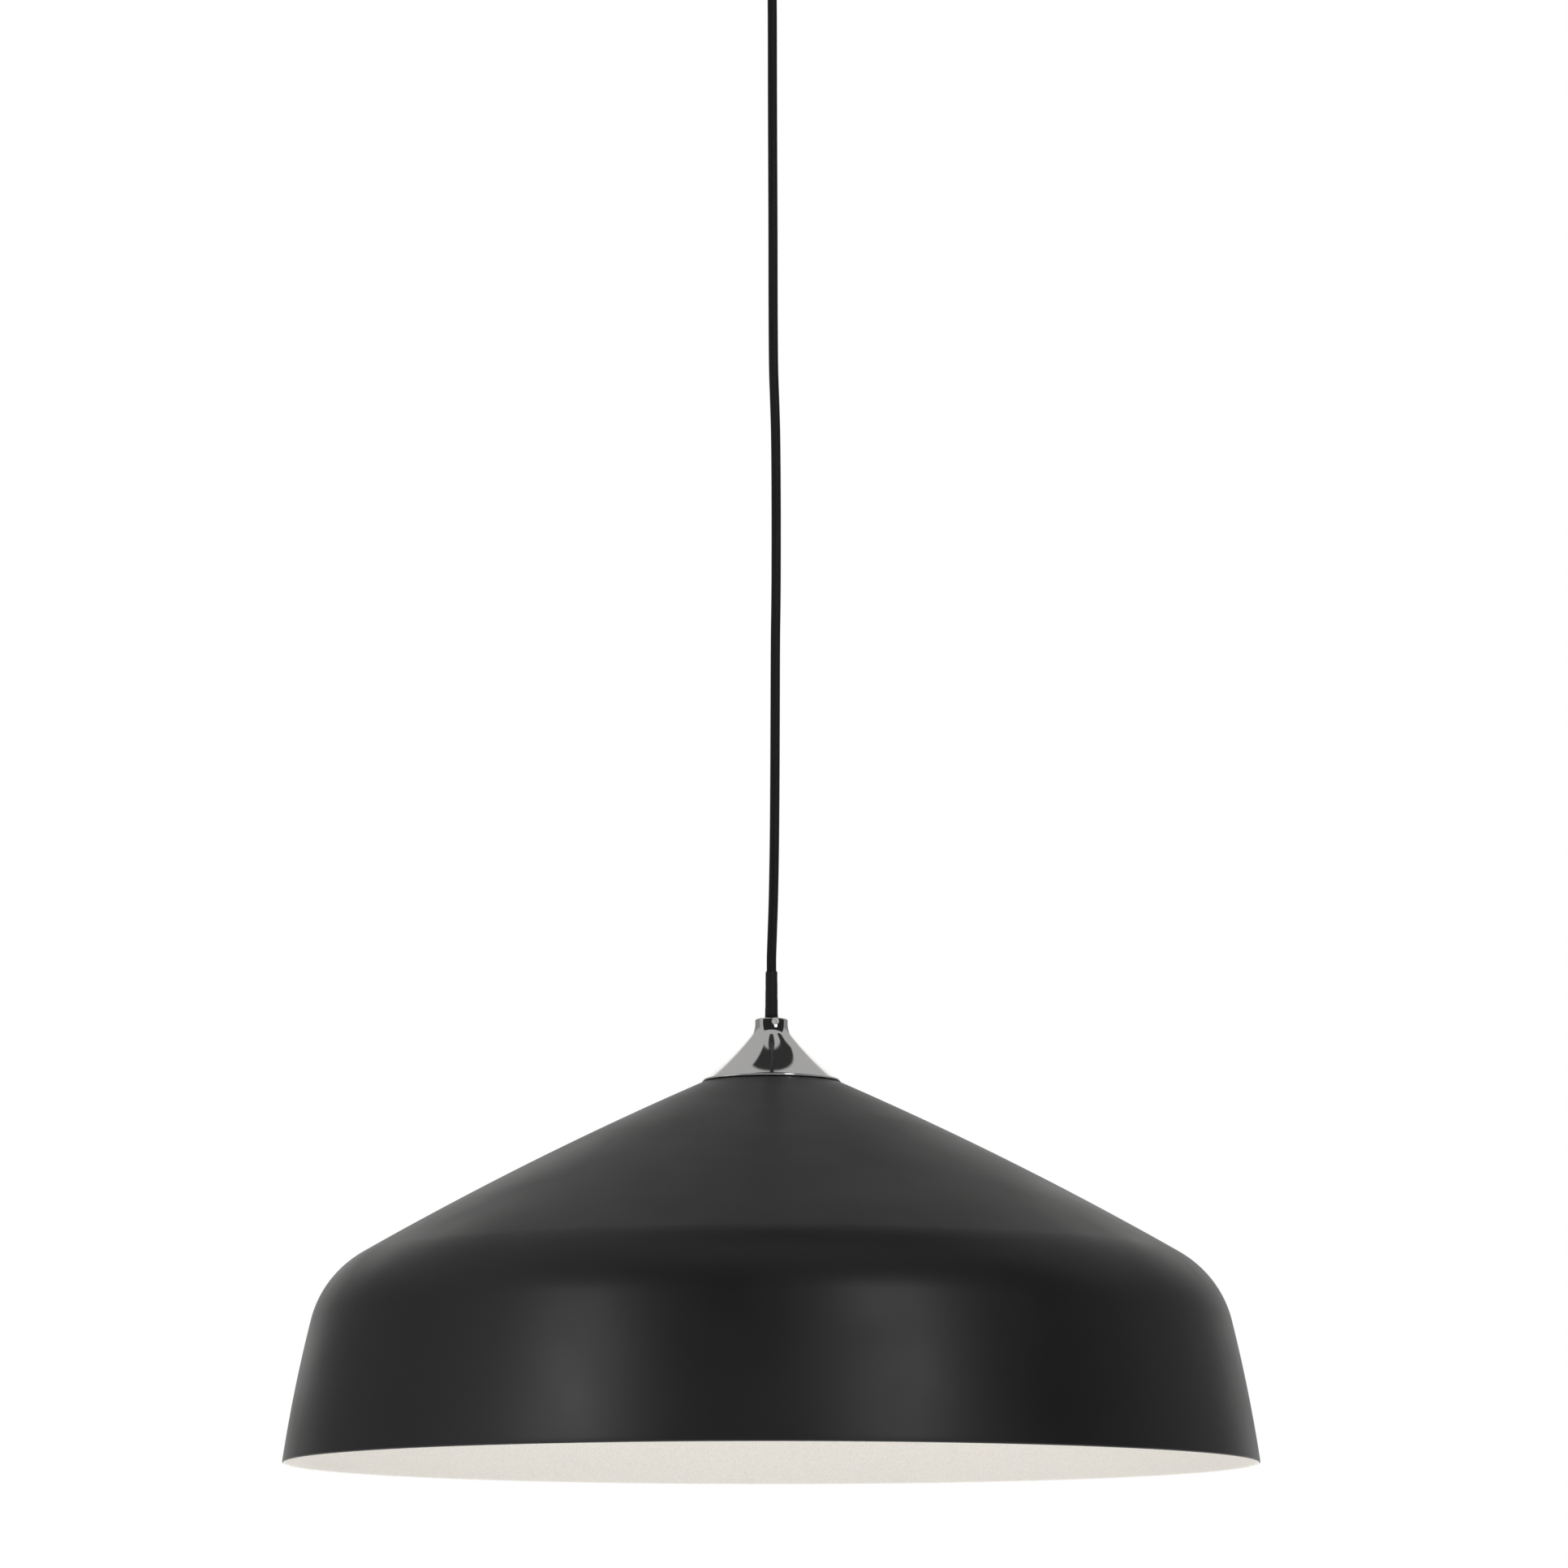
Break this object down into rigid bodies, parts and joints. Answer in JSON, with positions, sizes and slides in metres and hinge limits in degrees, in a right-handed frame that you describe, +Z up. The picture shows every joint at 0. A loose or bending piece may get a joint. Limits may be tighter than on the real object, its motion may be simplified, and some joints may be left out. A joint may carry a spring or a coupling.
{
  "type": "pendant ceiling light",
  "caption": "Dome pendant light: spun metal shade under a chromed trumpet cap, hung on a thin round cord from a ceiling canopy, with a screw-in bulb in a lamp holder inside.",
  "frame": {"origin": "centre of the ceiling bracket's two slots, on the plane where the bracket and the canopy meet the ceiling", "axes": "+Z up, out of the ceiling face; the light hangs along -Z; +X along the row of the two bracket slots; -Y is the front, the side of the neck screw"},
  "size_m": [0.4, 0.3998, 0.675],
  "materials": {
    "shade_paint": "matt black powder coat on spun aluminium, white enamel inside",
    "black_paint": "matt black powder coat",
    "chrome": "polished chrome plating",
    "zinc_steel": "zinc-plated steel",
    "brass": "plain brass",
    "cord_black": "smooth black cord jacket",
    "sleeve_rubber": "black shrink sleeve",
    "core_insulation": "insulated cores, brown and blue",
    "black_plastic": "moulded black plastic",
    "white_plastic": "white moulded plastic",
    "ivory_plastic": "ivory moulded plastic",
    "ceramic": "glazed ceramic",
    "bulb_metal": "nickel-plated rolled shell",
    "opal_plastic": "opal diffuser",
    "board_aluminium": "white-masked aluminium board",
    "chip_yellow": "phosphor-coated chips",
    "board_green": "green circuit board"
  },
  "bodies": {
    "ceiling": {"ceiling_bracket": "zinc_steel", "canopy_cover": "black_paint", "canopy_side_screws": "black_paint", "cord_bush": "black_plastic", "bush_nut": "zinc_steel", "clamp_base": "ivory_plastic", "clamp_saddle": "ivory_plastic", "clamp_screws": "zinc_steel", "terminal_block": "white_plastic", "terminal_inserts": "brass", "terminal_screws": "zinc_steel", "terminal_fixing_screw": "zinc_steel", "canopy_cord": "cord_black", "canopy_core_wires": "core_insulation"},
    "cord_knuckle": {"cord_bend": "cord_black"},
    "drop": {"flex_cord": "cord_black"},
    "head": {"cord_sleeve": "sleeve_rubber", "neck_screw": "white_plastic", "chrome_cap": "chrome", "head_cord": "cord_black", "hollow_nipple": "brass", "shade": "shade_paint", "shade_washer": "zinc_steel", "shade_nut": "brass", "holder_dome": "black_plastic", "holder_lock_screw": "zinc_steel", "holder_skirt": "black_plastic", "contact_block": "ceramic", "holder_terminals": "brass", "holder_terminal_screws": "zinc_steel", "holder_core_wires": "core_insulation", "screw_shell": "brass", "centre_contact": "brass"},
    "bulb_core": {"bulb_tip_contact": "bulb_metal", "bulb_insulator": "black_plastic"},
    "bulb": {"bulb_screw_cap": "bulb_metal", "bulb_body": "white_plastic", "bulb_diffuser": "opal_plastic", "led_board": "board_aluminium", "led_chips": "chip_yellow", "driver_board": "board_green"}
  },
  "joints": [
    {"name": "swing_side", "type": "hinge", "parent": "ceiling", "child": "cord_knuckle", "pos_m": [0, 0, -0.03], "axis": [0, 1, 0], "range_deg": [-30, 30]},
    {"name": "swing_front", "type": "hinge", "parent": "cord_knuckle", "child": "drop", "pos_m": [0, 0, -0.03], "axis": [1, 0, 0], "range_deg": [-30, 30]},
    {"name": "head_twist", "type": "hinge", "parent": "drop", "child": "head", "pos_m": [0, 0, -0.4712], "axis": [0, 0, 1], "range_deg": [-90, 90]},
    {"name": "bulb_lift", "type": "slide", "parent": "head", "child": "bulb_core", "axis": [0, 0, -1], "range_m": [0, 0.01815]},
    {"name": "bulb_turn", "type": "hinge", "parent": "bulb_core", "child": "bulb", "pos_m": [0, 0, -0.59], "axis": [0, 0, -1], "range_deg": [0, 1800]}
  ],
  "couplings": [
    {"joint": "bulb_turn", "follows": "bulb_lift", "rad_per_m": 1730.9}
  ]
}
